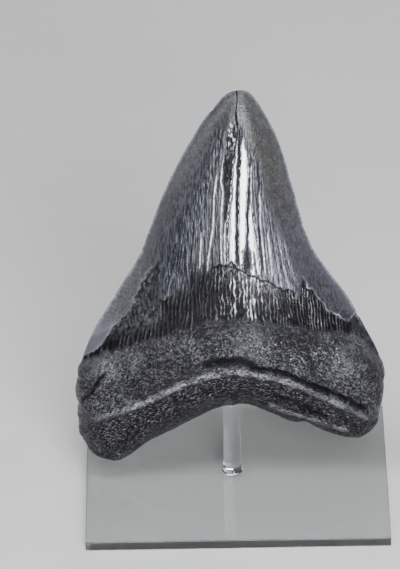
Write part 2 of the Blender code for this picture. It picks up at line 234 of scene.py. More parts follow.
# Lines of the root's lingual face, as (s, t): ridges, grooves, and the ledge above the long groove
RIDGE = [(-46, -2), (-41.6, -0.5), (-34.8, 1.8), (-28, 5.3), (-14.4, 11.7), (-2.5, 15),
         (4.3, 15), (10, 13.6), (16.1, 12.2), (22.8, 9.2), (29.6, 5.2), (36.3, 1.8), (44.4, -3.4)]
HOLLOW = [(-8, 18.4), (-3.4, 19.2), (2.7, 19.6), (6.7, 17.6)]
GROOVE = [(7.6, 16.6), (12.8, 15.8), (17.8, 14.4), (21.5, 12.4), (25.5, 9.9), (30.3, 7.8), (35.6, 5.2),
          (39.7, 2.6), (43.7, -0.2)]
CHANNEL = [(14, 5.4), (20.4, 2.9), (26, -0.8), (31, -3.4)]
LOW_RIDGE = [(12.5, 1.2), (17.6, -0.9), (24.3, -3.8), (31.1, -6.4), (37.8, -8.6)]
LEDGE_HEIGHT = 0.8
LEDGE = (6, 10, 40, 45)
SIDE_CRACK = [(-42.4, 14), (-43.9, 12.7), (-45.6, 10), (-46.8, 7.6), (-50.4, 3.7), (-52.8, 1.3)]
# Each with its height, below 0 for a groove, and the half widths of its flat top and of the whole
ROOT_LINES = [(RIDGE, 1.1, 0.3, 1.9), (HOLLOW, -1, 0.3, 2.2), (GROOVE, -1.3, 0.2, 1.5),
              (CHANNEL, -0.8, 0.2, 1.7), (LOW_RIDGE, 0.8, 0.3, 1.6), (SIDE_CRACK, -1.3, 0, 0.75)]
# Low swells and hollows of the root, as (s, t, height, radius)
SWELLS = [(6.5, 25.5, 0.7, 6.5), (-44, 16, 0.6, 6), (25, 24, -0.6, 7), (38, 17, 0.5, 7),
          (-17, 17.5, -0.5, 6), (-28, 11.5, -0.4, 5), (-33, 19, 0.35, 5), (22, 16.5, 0.35, 5)]
SWELL_LIMIT = 0.7
GRAIN_HEIGHT = 0.18

# Chips of the cutting edges, as (t, depth, reach, side), and the worn notch at the side crack's end
NICKS = [(55.4, 0.30, 0.6, -1), (53.0, 0.35, 0.7, -1), (37.4, 0.40, 0.7, -1), (102.0, 0.35, 0.8, -1),
         (24.5, 0.25, 1.0, -1), (78.0, 0.20, 0.6, 1), (30.0, 0.50, 1.0, 1), (61.0, 0.25, 0.7, 1)]
SERRATION_PITCH = 1.5
NICKS_STAY_AT_EDGE = 14
NOTCH = (-52.8, 1.0)
NOTCH_DEPTH = 0.9
NOTCH_RADIUS = 1.4

# Values that the tooth's mesh holds: from 0 to 1, but for the ridge line, -1 in a groove to 1 on a
# ridge, and the level, a height in millimetres over the root's long ridge
MASKS = ("grooved", "broken", "root", "cracks_and_shade", "broad", "shade", "edge", "ridge_line", "below_ridge",
         "worn", "swell", "grain", "level", "skin")


def grey(level, blue=1.0, red=1.0):
    """A colour close to grey, with its blue and its red scaled."""
    return (level * red, level, level * blue, 1.0)


# Pairs of colours, which a pattern mixes, and single ones, which are laid over them
ENAMEL = grey(0.044, 1.30, 1.05), grey(0.050, 0.86, 0.99)
ENAMEL_BLOTCH = grey(0.020, 1.2, 1.02)
ENAMEL_SPECK = grey(0.014, 1.1, 1.02)
ENAMEL_PAINTED_SHADE = grey(0.014, 1.1)
ENAMEL_SHADE = grey(0.008, 1.25, 1.05)
ENAMEL_STREAK = grey(0.090, 1.2)
ENAMEL_EDGE_AND_HIGHLIGHT = grey(0.14, 1.20)
SLATE = grey(0.006, 1.42, 0.88), grey(0.042, 1.30, 0.90)
SLATE_SPECK = grey(0.010, 1.35, 0.90)
SLATE_HAIRLINE = grey(0.120, 1.22, 0.96)
DENTINE = grey(0.002, 1.35, 1.05), grey(0.006, 1.35, 1.05)
CHARCOAL = grey(0.003, 1.2), grey(0.072, 1.22, 1.02)
PITTED_AND_SHADED = grey(0.0005, 1.2), grey(0.028, 1.15, 1.02)
ROOT_FLECKS_AND_GLINTS = grey(0.085, 1.18, 1.02), grey(0.200, 1.12, 1.02)
ROOT_BLOTCH = grey(0.004, 1.1)
ROOT_SHADE = grey(0.005, 1.2)
ROOT_PATCH = grey(0.004, 1.15)
ROOT_HOLLOW_PAINTED_SHADE = grey(0.004)
ROOT_SWELL_PAINTED_LIGHT = grey(0.120, 1.12)
CRACK_AND_SHADE_BLACK = grey(0.003)
WORN_GREY_AND_HIGHLIGHT = grey(0.14, 1.15)
WORN_PALE_AND_HIGHLIGHT = grey(0.45, 1.06)
RIDGE_PALE = grey(0.30, 1.08)
# Least and most roughness of each kind of surface, in the order in which they are laid over the enamel
ROUGHNESS = [("grooved", 0.20, 0.32), ("broad", 0.20, 0.28), ("broken", 0.20, 0.34), ("root", 0.26, 0.40)]

# Softboxes: name, azimuth, elevation, distance, width, height, power and colour
COOL = (0.94, 0.95, 1.0)
WHITE = (1.0, 1.0, 1.0)
SOFTBOXES = [
    ("key", 12, 18, 1.1, 0.40, 0.70, 28.0, COOL),
    ("top", -10, 62, 1.2, 0.8, 0.5, 14.0, COOL),
    ("left", -70, 30, 1.2, 0.5, 0.9, 8.0, COOL),
    ("right", 70, 30, 1.2, 0.5, 0.9, 3.0, WHITE),
    ("back", 180, 60, 1.5, 0.9, 0.6, 4.0, WHITE),
    ("low back", 165, 8, 1.4, 0.8, 0.3, 9.0, COOL),
]
LIGHTS_AIM = Vector((0.0, 0.0, 0.07))
WORLD_COLOUR = (0.80, 0.82, 0.86, 1.0)
WORLD_STRENGTH = 0.10
FLOOR_RADIUS = 6.0
FLOOR_DROP = 0.1 * MM


# ---- curves, tables and noise

def smoothstep(start, end, x):
    """A smooth rise from 0 at the start to 1 at the end. It falls where the end comes first."""
    x = np.clip((x - start) / (end - start), 0.0, 1.0)
    return x * x * (3.0 - 2.0 * x)


def band(x, places):
    """0 up to the first place, 1 from the second to the third, and 0 again from the fourth."""
    start, risen, falling, end = places
    return smoothstep(start, risen, x) * smoothstep(end, falling, x)


def curve_through(points, shares, steps=30):
    """Points at the given shares of the length of a Catmull-Rom curve through the points."""
    p = np.array(points)
    p = np.vstack([2 * p[0] - p[1], p, 2 * p[-1] - p[-2]])
    f = np.linspace(0, 1, steps, endpoint=False)[:, None]
    runs = []
    for a, b, c, d in zip(p, p[1:], p[2:], p[3:]):
        runs.append(b + 0.5 * f * (c - a + f * (2 * a - 5 * b + 4 * c - d + f * (3 * (b - c) + d - a))))
    run = np.vstack(runs + [p[-2:-1]])
    length = np.concatenate([[0.0], np.cumsum(np.hypot(*np.diff(run, axis=0).T))])
    at = np.asarray(shares) * length[-1]
    return np.column_stack([np.interp(at, length, run[:, 0]), np.interp(at, length, run[:, 1])])


def along(points, x):
    """Value at x of a smooth curve through (x, value) pairs."""
    xs, values = curve_through(points, np.linspace(0, 1, 200)).T
    return np.interp(x, xs, values)


def line_distance(s, t, points):
    """Distance of each point (s, t) from the line through the points."""
    nearest = np.full(s.shape, np.inf)
    for (s0, t0), (s1, t1) in zip(points[:-1], points[1:]):
        ds, dt = s1 - s0, t1 - t0
        share = np.clip(((s - s0) * ds + (t - t0) * dt) / (ds * ds + dt * dt), 0, 1)
        nearest = np.minimum(nearest, np.hypot(s - s0 - share * ds, t - t0 - share * dt))
    return nearest


def inside(s, t, points):
    """Whether each point (s, t) lies inside the closed line through the points."""
    crossings = np.zeros(s.shape, int)
    for (s0, t0), (s1, t1) in zip(points, points[1:] + points[:1]):
        if t0 != t1:
            crossings += ((t0 > t) != (t1 > t)) & (s < s0 + (t - t0) * (s1 - s0) / (t1 - t0))
    return crossings % 2 == 1


def signed_distance(s, t, points):
    """Distance from the closed line through the points, positive inside it."""
    distance = line_distance(s, t, points + points[:1])
    return np.where(inside(s, t, points), distance, -distance)


def lattice(i, j, seed):
    """A repeatable random number from -1 to 1 for each whole-number place."""
    mixed = (i * 374761393 + j * 668265263 + seed * 2246822519) & 0xFFFFFFFF
    mixed = ((mixed ^ (mixed >> 13)) * 1274126177) & 0xFFFFFFFF
    return ((mixed ^ (mixed >> 16)) & 0xFFFF) / 32767.5 - 1.0


def noise(x, y, seed):
    """Smooth noise from -1 to 1, with cells one unit wide."""
    i, j = np.floor(x).astype(np.int64), np.floor(y).astype(np.int64)
    a, b = smoothstep(0, 1, x - i), smoothstep(0, 1, y - j)
    low = lattice(i, j, seed) * (1 - a) + lattice(i + 1, j, seed) * a
    high = lattice(i, j + 1, seed) * (1 - a) + lattice(i + 1, j + 1, seed) * a
    return low * (1 - b) + high * b


def fractal(x, y, seed, octaves=3):
    """Noise in octaves, each twice as fine and half as strong."""
    total = np.zeros(np.broadcast(x, y).shape)
    for octave in range(octaves):
        total += noise(x * 2 ** octave, y * 2 ** octave, seed + octave) / 2 ** octave
    return total


# ---- the tooth's form

class Outline:
    """The tooth's outline, as smooth curves and as its width and base by height and place."""

    def __init__(self):
        fine = np.linspace(0, 1, 200)
        tip, left, right, base = (curve_through(c, fine) for c in (TIP, LEFT_EDGE, RIGHT_EDGE, BASE_EDGE))
        top = int(np.argmax(tip[:, 1]))
        self.left = np.vstack([left[::-1], tip[:top + 1]])
        self.right = np.vstack([right[::-1], tip[top:][::-1]])
        self.base = base
        self.arch = curve_through(LINGUAL_ARCH, fine)
        closed = np.vstack([left[::-1], tip[1:-1], right, base[::-1]])
        self.closed = [tuple(p) for p in closed[::2]]

    def point(self, u, v):
        """Coons patch over the outline: u from the left edge to the right, v from the tip to the base."""
        top, bottom = curve_through(TIP, u), curve_through(BASE_EDGE, u)
        left, right = curve_through(LEFT_EDGE, v), curve_through(RIGHT_EDGE, v)
        u, v = u[:, None], v[:, None]
        corners = ((1 - v) * ((1 - u) * np.array(TIP[0]) + u * np.array(TIP[-1]))
                   + v * ((1 - u) * np.array(BASE_EDGE[0]) + u * np.array(BASE_EDGE[-1])))
        return ((1 - v) * top + v * bottom + (1 - u) * left + u * right - corners).T

    def across(self, t):
        """Centre and half width of the tooth at t."""
        left = np.interp(t, self.left[:, 1], self.left[:, 0])
        right = np.interp(t, self.right[:, 1], self.right[:, 0])
        return (left + right) / 2, np.maximum((right - left) / 2, 0.3)


def set_back(t):
    """How far the cutting edges lie behind the root's edge. They sink by EDGE_PLANE_DROP of it."""
    return EDGE_PLANE_SETBACK * smoothstep(EDGE_PLANE_FROM, EDGE_PLANE_TO, t)


def smooth_body(outline, s, t):
    """Depth of the lingual and the labial face, without relief."""
    centre, half = outline.across(t)
    place = np.clip((s - centre) / half, -1, 1)
    rim = line_distance(s, t, outline.closed)
    rounding = np.sqrt(np.maximum(1 - (1 - np.clip(rim / ROOT_EDGE_RADIUS, 0, 1)) ** 2, 0))
    setback = set_back(t)

    base = np.interp(s, outline.base[:, 0], outline.base[:, 1])
    arch = np.interp(s, outline.arch[:, 0], outline.arch[:, 1])
    height = (t - base) / np.maximum(arch - base, 1.0)
    thinning = 1 - LOBE_THINNING * smoothstep(LOBE_FROM, LOBE_TO, np.abs(s))

    crown = along(LINGUAL_CROWN, t) * (1 - np.abs(place) ** CROWN_FLATNESS) ** CROWN_SHOULDER
    root = (along(LINGUAL_ROOT, height) * thinning + setback) * rounding
    share = smoothstep(*LINGUAL_PASSAGE, t - arch)
    lingual = (1 - share) * crown + share * root - setback

    crown = along(LABIAL_CROWN, t) * (1 - np.abs(place) ** LABIAL_FLATNESS)
    hollow = LABIAL_HOLLOW * smoothstep(LABIAL_HOLLOW_REACH, 0, np.abs(s))
    root = LABIAL_ROOT * (1 - hollow) * rounding
    share = smoothstep(*LABIAL_PASSAGE, t - arch + LABIAL_DROP)
    labial = -(1 - share) * crown - share * (root - LABIAL_SETBACK * setback * rounding) - setback
    return lingual, labial, rim, arch, place


def height_profile(t, points):
    """s of a line of (t, s) points at each t, and 1 where t is within its reach, fading at its ends."""
    ts, ss = np.array(points[::-1]).T
    reach = smoothstep(ts[0] - 0.6, ts[0] + 1, t) * smoothstep(ts[-1] + 0.5, ts[-1] - 2.5, t)
    return np.interp(t, ts, ss), reach


def strip_cover(s, t, strip, soft):
    """1 on a strip of (t, left s, right s) points, with soft sides, and the place across it, -1 to 1."""
    ts, lefts, rights = np.array(strip[::-1]).T
    left, right = np.interp(t, ts, lefts), np.interp(t, ts, rights)
    cover = smoothstep(left - soft, left + soft, s) * smoothstep(right + soft, right - soft, s)
    cover = cover * smoothstep(ts[0] - 0.5, ts[0] + 0.5, t) * smoothstep(ts[-1] + 0.5, ts[-1] - 3, t)
    return cover, np.clip((2 * s - left - right) / (right - left), -1, 1)


def broad_strips(s, t):
    """1 on the broad strips of smooth enamel, and how far across each strip a point is, -1 to 1."""
    cover, across = np.zeros(s.shape), np.zeros(s.shape)
    s = s + 0.22 * noise(t / 1.6, s / 1.2, 28) + 0.14 * noise(t / 0.7, s / 0.8, 29)
    for strip in STRIPS:
        here, place = strip_cover(s, t, strip, 0.15)
        across = np.where(here > cover, place, across)
        cover = np.maximum(cover, here)
    return cover, across


def enamel_strips(s, t):
    """Grooved enamel: strips between narrow cracks, each with a raised lip and a tilt of its own."""
    fan = s / np.maximum(1 + FAN_RATE * (FAN_LEVEL - t) * (np.abs(s) / FAN_REACH) ** FAN_POWER, 0.5)
    place = fan / STRIP_PITCH + 0.35 * noise(s / 3.5, t / 20, 21) + 0.06 * noise(s, t / 5, 22)
    strip = np.floor(place)
    across = place - strip
    index = strip.astype(np.int64)
    beading = noise(place * 1.7, t / 1.3, 27)
    strength = 0.6 + 0.4 * noise(place, t / 12, 23) + 0.3 * beading
    crack = np.exp(-(np.minimum(across, 1 - across) / 0.16) ** 2) * strength
    lip = np.exp(-((across - 0.30) / 0.14) ** 2) * (0.5 + 0.5 * noise(place + 9, t / 9, 26))
    lip = lip * (1 + beading)
    tilt = lattice(index, np.zeros_like(index), 24) + 0.4 * noise(index * 7.3, t / 20, 25)
    relief = 0.03 * lip + 0.05 * tilt * (across - 0.5) + 0.02 * beading - STRIP_CRACK_DEPTH * crack
    return relief, crack, lip


def dentine_ribs(s, t):
    """Ribs of the dentine bared under the broken enamel, from 0 between them to about 1 on top."""
    outer = np.maximum(s - FINE_RIBS_FROM, 0)
    place = s / RIB_PITCH + outer * (1 / FINE_RIB_PITCH - 1 / RIB_PITCH) + 0.003 * s * (t - 40)
    place = place + 0.45 * noise(s / 4, t / 6, 41) + 0.25 * noise(s / 1.2, t / 2.2, 44)
    place = place + 0.12 * noise(s / 0.9, t / 0.9, 48)
    narrowing = 0.8 + smoothstep(8, 18, np.abs(s - 3))
    ridge = (0.5 + 0.5 * np.cos(2 * math.pi * place)) ** narrowing
    return ridge * (0.80 + 0.30 * noise(place * 0.9, t / 4.5, 42) + 0.20 * noise(place * 2, t / 0.9, 45))


def turned(x, y, angle, size, seed):
    """Noise with cells of the given size, its grid turned by an angle in degrees."""
    c, d = math.cos(math.radians(angle)) / size, math.sin(math.radians(angle)) / size
    return noise(c * x + d * y, c * y - d * x, seed)


def root_grain(s, level, below):
    """Leathery grain of the root, 0 to 1: fine beads, which turn to streaks below the ridge."""
    bend = 0.35 * noise(s / 1.9, level / 1.9, 91)
    beads = turned(s + bend, level, 17, 0.55, 94) + 0.7 * turned(s, level + bend, 52, 0.72, 97)
    folds = turned(s * 0.6, level + bend, 58, 0.60, 93)
    streaks = turned(s * 0.45, level, 12, 0.55, 95) + 0.7 * turned(s * 0.8, level, 40, 0.56, 96)
    return smoothstep(-0.55, 0.75, (1 - below) * (0.8 * beads + 0.4 * folds) + below * streaks)


def lingual_zones(s, t, arch):
    """How far each kind of surface covers the lingual face, 0 to 1, and the distances into two of them."""
    ragged = 0.5 * fractal(s / 1.6, t / 1.6, 11) * smoothstep(20, 35, t)
    into_break = signed_distance(s, t, BROKEN) + ragged
    stepped = smoothstep(-0.15, 0.35, into_break)
    gradual = smoothstep(-2.5, 4.5, into_break + 2.5 * noise(s / 1.1, t / 7, 14))
    fading = band(s, FADING_BREAK) * smoothstep(33, 38, t)
    broken = stepped * (1 - fading) + gradual * fading
    # Painted shadow: a dark line under the broken enamel's edge
    break_shadow = np.exp(-(into_break / 0.28) ** 2) * band(s, BREAK_SHADOW)
    # Pale chipped rim of the broken enamel, partly a painted highlight along its edge
    chipped_edge_highlight = np.exp(-((into_break + 0.35) / 0.3) ** 2)
    chipped_edge_highlight *= 0.6 * band(s, CHIPPED_RIGHT) + 0.35 * smoothstep(-24, -26, s)
    chipped_edge_highlight *= 0.8 + 0.6 * noise(s / 1.3, t / 1.3, 16)

    into_grooves = signed_distance(s, t, GROOVED)
    grooved = smoothstep(-0.5, 3.5, into_grooves + 1.5 * noise(s / 1.2, t / 9, 12)) * (1 - broken)
    crown = smoothstep(-1.2, 0.6, t - arch + 0.8 * noise(s / 1.3, t / 3, 13))
    return SimpleNamespace(
        crown=crown, root=1 - crown, margin=(1 - broken) * (1 - grooved) * crown, grooved=grooved,
        into_grooves=into_grooves, broken=broken, dentine=broken * crown, fading=fading,
        into_break=into_break, break_shadow=break_shadow, chipped_edge_highlight=chipped_edge_highlight)


def margin_painted_shade_and_light(s, t, rim, zones):
    """Painted shade on the smooth enamel beside the grooves, a darker lower right wing, and paleness
    towards its edges, partly painted light.
    """
    # Painted shade: the enamel darkens as it turns in beside the grooves
    shade = zones.margin * np.exp(zones.into_grooves / 4.5) * smoothstep(3, -3, s) * smoothstep(36, 56, t)
    shade *= smoothstep(1, 4.5, rim)
    # The lower right wing is darker too
    right_wing = zones.margin * smoothstep(19, 26, s) * smoothstep(56, 42, t)
    shade += 0.85 * right_wing * smoothstep(0.5, 2.5, rim)
    # Pale cutting edges: partly worn edges, partly a painted highlight along the rim; the left lobe and
    # the band along the rim get painted light
    pale = zones.crown * smoothstep(0.9, 0.15, rim + 0.25 * noise(s / 0.8, t / 1.5, 15))
    left_lobe = zones.margin * smoothstep(35, 20, t) * smoothstep(0, -10, s)
    pale = np.maximum(pale, LOBE_PAINTED_LIGHT * left_lobe)
    return shade, np.maximum(pale, RIM_PAINTED_LIGHT * zones.margin * smoothstep(4.5, 0.5, rim))


def grooved_enamel(s, t, zones):
    """Relief of the grooved enamel, and its masks: strips, cracks, their raised lips, and knobs."""
    relief, crack, lip = enamel_strips(s, t)
    broad, broad_across = broad_strips(s, t)
    relief = relief * (1 - broad) + broad * (BROAD_HEIGHT - BROAD_CROWN * broad_across ** 2)
    grooved, sound = zones.grooved, 1 - zones.broken
    # Cracks and recesses are darkened: dark crack lines, partly painted shade
    cracks_and_shade = grooved * (1 - broad) * crack
    worn = (0.20 + 0.40 * smoothstep(5, 11, s)) * grooved * (1 - broad) * lip

    for number, (points, depth, half_width) in enumerate(CRACKS):
        line, reach = height_profile(t, points)
        wander = 0.14 * noise(t / 1.5, line, 31) + 0.10 * noise(t / 0.6, line, 33)
        width = half_width * (1 + 0.45 * noise(t / 1.1, line, 34))
        cut = np.exp(-((s - line - wander) / width) ** 2) * reach * sound
        relief = relief * (1 - cut) - depth * cut
        cracks_and_shade = np.maximum(cracks_and_shade, cut)
        worn = worn * (1 - cut)
        if number in TIP_CRACKS:
            grooved = np.maximum(grooved, cut)

    for points, height, half_width in LIPS:
        line, reach = height_profile(t, points)
        wander = 0.10 * noise(t / 1.2, line, 32) + 0.05 * noise(t / 0.5, line, 37)
        crest = np.exp(-((s - line - wander) / half_width) ** 2) * reach
        crest *= 0.9 + 0.3 * noise(t / 0.8, line, 38)
        # Painted shade: a dark line beside each raised lip
        beside = np.exp(-((s - line + 2.2 * half_width) / half_width) ** 2) * reach * sound
        relief += (height * crest - 0.5 * height * beside) * sound
        cracks_and_shade = np.maximum(cracks_and_shade * (1 - crest), 0.7 * beside * (1 - broad))
        worn = np.maximum(worn, crest * sound)

    knobbly = strip_cover(s, t, KNOBS, 0.3)[0] * (1 - broad)
    knobs = np.abs(noise(s / 0.9, t / 1.5, 35) + 0.5 * noise(s / 0.5, t / 0.8, 36))
    knob_relief = KNOB_HEIGHT * smoothstep(0.05, 0.5, knobs) - KNOB_SINK
    relief = relief * (1 - knobbly) + knobbly * knob_relief
    bubbles = smoothstep(0.20, 0.60, knobs) * (0.25 + 0.75 * smoothstep(82, 90, t))
    cracks_and_shade = cracks_and_shade * (1 - knobbly) + knobbly * (1 - 0.8 * bubbles)
    worn = worn * (1 - knobbly) + 0.8 * knobbly * smoothstep(0.35, 0.60, knobs) * smoothstep(86, 95, t)
    return relief * grooved, {"grooved": grooved, "broad": broad * grooved, "cracks_and_shade": cracks_and_shade, "worn": worn}


def bared_dentine(s, t, rim, arch, zones):
    """Relief of the dentine under the broken enamel, and its masks.

    Its ribs give way to a mottled skin at the far left, above the comb at their foot.
    """
    mottled = smoothstep(-21.5, -25, s + 0.8 * noise(s, t / 2, 46)) * smoothstep(1.5, 4.5, t - arch)
    mottle = 0.34 + 0.20 * fractal(s / 0.42, t / 0.45, 47)
    bare_rim = smoothstep(4.2, 2.6, rim + 0.8 * noise(s / 2, t / 2, 19)) * smoothstep(32, 37, s)
    ribs = dentine_ribs(s, t)
    ribs = ribs + 0.85 * mottled * (np.clip(mottle, 0, 1) - ribs)
    ribs = ribs * (1 - bare_rim) + 0.45 * bare_rim
    grain = 0.16 * fractal(s / 0.7, t / 0.9, 43)
    sunk = ENAMEL_THICKNESS * (1 - 0.7 * zones.fading)
    relief = zones.dentine * (RIB_HEIGHT * ribs - RIB_SINK + grain - sunk)

    # Painted highlight: rib tops are paled where the key light would catch them, most at the middle, least
    # at the far left
    lit = 0.08 + 1.15 * band(s, LIT_RIBS) + 0.50 * smoothstep(9, 14, s)
    lit = lit + 0.20 * smoothstep(-10, -14, s) * (0.2 + 0.8 * smoothstep(4.5, 1.5, t - arch))
    lit = lit * (0.65 + 0.7 * noise(s / 1.5, t / 3, 50)) * (1 - 0.4 * smoothstep(-12, -18, s))
    near_break = np.exp(-np.maximum(zones.into_break, 0) / 2.5) * band(s, SCALY_DENTINE)
    scaly = near_break * (0.45 + 0.5 * fractal(s / 0.7, t / 0.7, 49)) * (1 - zones.break_shadow)
    scratchy = np.maximum(mottled * (0.07 + 0.11 * fractal(s / 0.5, t / 0.7, 18)),
                          bare_rim * (0.12 + 0.10 * fractal(s / 0.8, t / 0.8, 20)))
    worn = np.maximum.reduce([lit * smoothstep(0.50, 0.90, ribs), scaly, scratchy])
    # Painted shade between the ribs
    return relief, {"cracks_and_shade": zones.dentine * (1 - ribs), "worn": zones.dentine * worn}


def root_surface(s, t, arch, rim, zones):
    """Relief of the root, and its masks: swells, ridges, grooves, and rougher grain below the ridge."""
    swell = np.zeros(s.shape)
    for s0, t0, height, radius in SWELLS:
        swell += height * np.exp(-((s - s0) ** 2 + (t - t0) ** 2) / radius ** 2)
    relief = swell.copy()

    ridge_line = np.zeros(s.shape)
    patchy = smoothstep(-0.5, 0.3, fractal(s / 3.5, t / 3.5, 68)) * smoothstep(47, 30, np.abs(s))
    for number, (points, height, flat_half, half_width) in enumerate(ROOT_LINES):
        line = curve_through(points, np.linspace(0, 1, 40))
        uneven = 0.8 * fractal(s / 2.5, t / 2.5, 51 + number)
        reach = line_distance(s, t, line) + 0.45 * uneven + 0.25 * noise(s / 0.9, t / 0.9, 58)
        fade = 1 - smoothstep(flat_half, half_width, reach)
        relief += height * fade * (1 + 0.25 * uneven) * smoothstep(0.5, 5, rim)
        # Ridges are pale; grooves are marked -1 for painted shade
        ridge_pale_groove_shade = 0.35 + 0.65 * patchy if height > 0 else -1
        ridge_line += fade * ridge_pale_groove_shade

    ledge_s, ledge_t = curve_through(GROOVE, np.linspace(0, 1, 60)).T
    above = t - np.interp(s, ledge_s, ledge_t) + 0.5 * fractal(s / 1.8, t / 1.8, 57)
    ledge = smoothstep(-0.2, 0.5, above) * np.exp(-np.maximum(above, 0) / 3.5)
    relief += LEDGE_HEIGHT * ledge * band(s, LEDGE)

    level = t - along(RIDGE, s)
    below = zones.root * smoothstep(1, -2.5, level) * smoothstep(0.1, 1, rim)
    grain = root_grain(s, level, below)
    uneven = 0.20 * noise(s / 6, t / 4, 64) + 0.12 * noise(s / 2.5, level / 2, 61)
    relief += zones.root * (uneven + GRAIN_HEIGHT * (grain - 0.5)) * smoothstep(0, 2, rim)
    # Painted shade in a band just above the long ridge, at the left
    shade_above_ridge = np.exp(-((level - 3.5 - noise(s / 5, t / 5, 65)) / 2.2) ** 2)
    shade_above_ridge *= smoothstep(15, 7, np.abs(s + 17))
    return relief, {
        "ridge_line": np.clip(ridge_line, -1, 1), "below_ridge": below, "grain": grain,
        "level": level, "swell": 0.5 + 0.5 * swell / SWELL_LIMIT,
        "shade": zones.root * shade_above_ridge * smoothstep(1, 3, rim),
        "skin": zones.root * smoothstep(-8, -1, t - arch + 1.5 * noise(s / 5, t / 4, 66)),
    }


def lingual_relief(s, t, rim, arch):
    """Relief of the lingual face in millimetres, and the masks that its colours follow."""
    zones = lingual_zones(s, t, arch)
    shade, edge = margin_painted_shade_and_light(s, t, rim, zones)
    enamel_relief, enamel = grooved_enamel(s, t, zones)
    dentine_relief, dentine = bared_dentine(s, t, rim, arch, zones)
    root_relief, root = root_surface(s, t, arch, rim, zones)
    cracks_and_shade = [enamel["cracks_and_shade"], dentine["cracks_and_shade"], zones.break_shadow * zones.crown]
    # Wear, with the painted highlights of the lit ribs and the chipped edge
    worn = [enamel["worn"], dentine["worn"], zones.chipped_edge_highlight * zones.crown]
    cracks_and_shade = np.clip(np.maximum.reduce(cracks_and_shade), 0, 1)
    masks = {
        **root, "root": zones.root, "broken": zones.dentine, "grooved": enamel["grooved"], "edge": edge,
        "broad": enamel["broad"] * (1 - cracks_and_shade), "cracks_and_shade": cracks_and_shade,
        "worn": np.clip(np.maximum.reduce(worn), 0, 1),
        "shade": np.clip(np.maximum(shade, root["shade"]), 0, 1),
    }
    return (enamel_relief + dentine_relief + root_relief) * smoothstep(0, 1.2, rim), masks


def labial_relief(s, t, rim, arch):
    """Relief of the labial face in millimetres, and those of its masks that aren't 0 all over."""
    foot = t - arch + LABIAL_DROP + 0.9 * noise(s / 2, t / 4, 71)
    below = smoothstep(0.8, -0.5, foot)
    enamel = (0.10 * noise(s / 5, t / 40, 72) + 0.05 * noise(s / 1.5, t / 25, 73)) * (1 - below)
    crack = np.exp(-((s - 4 - 0.8 * noise(t / 9, t * 0, 74) - 0.02 * (90 - t)) / 0.3) ** 2)
    crack = crack * smoothstep(96, 84, t) * (1 - below)
    grain = root_grain(t + 90, s, 0.5 * below)
    uneven = 0.2 * noise(s / 7, t / 5, 78) + GRAIN_HEIGHT * (grain - 0.5)
    relief = ENAMEL_THICKNESS * below + LABIAL_CRACK_DEPTH * crack - enamel
    relief -= below * uneven * smoothstep(0, 2, rim)
    # The crack is darkened, partly as painted shade; the edges are paled, partly as painted highlight
    masks = {"root": below, "below_ridge": 0.35 * below, "grain": grain, "cracks_and_shade": 0.8 * crack,
             "edge": (1 - below) * smoothstep(0.9, 0.15, rim), "level": t - along(RIDGE, s),
             "swell": np.full(s.shape, 0.5)}
    return relief * smoothstep(1, 4, rim), masks


def edge_nicks(s, t, place):
    """How far the cutting edges are worn in, in millimetres."""
    side = np.sign(place)
    serration = 0.10 * np.cos(2 * math.pi * t / SERRATION_PITCH + 3 * noise(t / 8, side, 81))
    wear = 0.14 * np.maximum(fractal(t / 3 + 40 * side, side, 82), 0)
    chips = np.zeros(s.shape)
    for at, depth, reach, of_side in NICKS:
        chips += depth * np.exp(-((t - at) / reach) ** 2) * (side == of_side)
    return (serration + wear + chips) * smoothstep(22, 30, t) * smoothstep(107, 104, t)


def rim_wear(s, t, rim):
    """How far the root's rim is worn in: shallow lumps, and a notch where the side crack meets it."""
    lumps = 0.35 * noise(s / 3.2, t / 3.2, 84) + 0.20 * noise(s / 1.1, t / 1.1, 85)
    from_notch = (s - NOTCH[0]) ** 2 + (t - NOTCH[1]) ** 2
    notch = NOTCH_DEPTH * np.exp(-from_notch / NOTCH_RADIUS ** 2)
    return (lumps + notch) * smoothstep(22, 14, t) * np.exp(-rim / 2)


# ---- the tooth's mesh

def add_face_of_tooth(bm, outline, lingual_side, layers):
    """A grid shaped into one face of the tooth, out to the outline that both faces share."""
    grid = bmesh.ops.create_grid(bm, x_segments=COLUMNS, y_segments=ROWS, size=1.0)["verts"]
    flat = np.array([v.co[:2] for v in grid])
    share = (flat + 1) / 2
    crowded = (1 - np.cos(math.pi * share[:, 0])) / 2
    u = (1 - COLUMN_CROWDING) * share[:, 0] + COLUMN_CROWDING * crowded
    v = 1 - share[:, 1] + ROW_SHIFT * np.sin(math.pi * share[:, 1])
    s, t = outline.point(u, v)
    lingual, labial, rim, arch, place = smooth_body(outline, s, t)
    if lingual_side:
        relief, masks = lingual_relief(s, t, rim, arch)
    else:
        relief, masks = labial_relief(s, t, rim, arch)
    outward = np.max(np.abs(flat), axis=1)
    depth = (lingual if lingual_side else labial) + relief
    depth = np.where(outward > 1 - 1e-6, (lingual + labial) / 2, depth)
    wear = rim_wear(s, t, rim) / np.hypot(s, t - ROOT_MIDDLE)
    s, t = s * (1 - wear), t - (t - ROOT_MIDDLE) * wear
    s = s - np.sign(place) * edge_nicks(s, t, place) * np.abs(place) ** NICKS_STAY_AT_EDGE
    sunk = t - EDGE_PLANE_DROP * set_back(t)
    for vert, x, y, z in zip(grid, s * MM, -depth * MM, sunk * MM):
        vert.co = (x, y, z)
    if not lingual_side:
        masks["labial"] = (outward < KEPT_RINGS).astype(float)
        faces = {face for vert in grid for face in vert.link_faces}
        bmesh.ops.reverse_faces(bm, faces=list(faces))
    for name, values in masks.items():
        layer = layers[name]
        for vert, value in zip(grid, values):
            vert[layer] = value


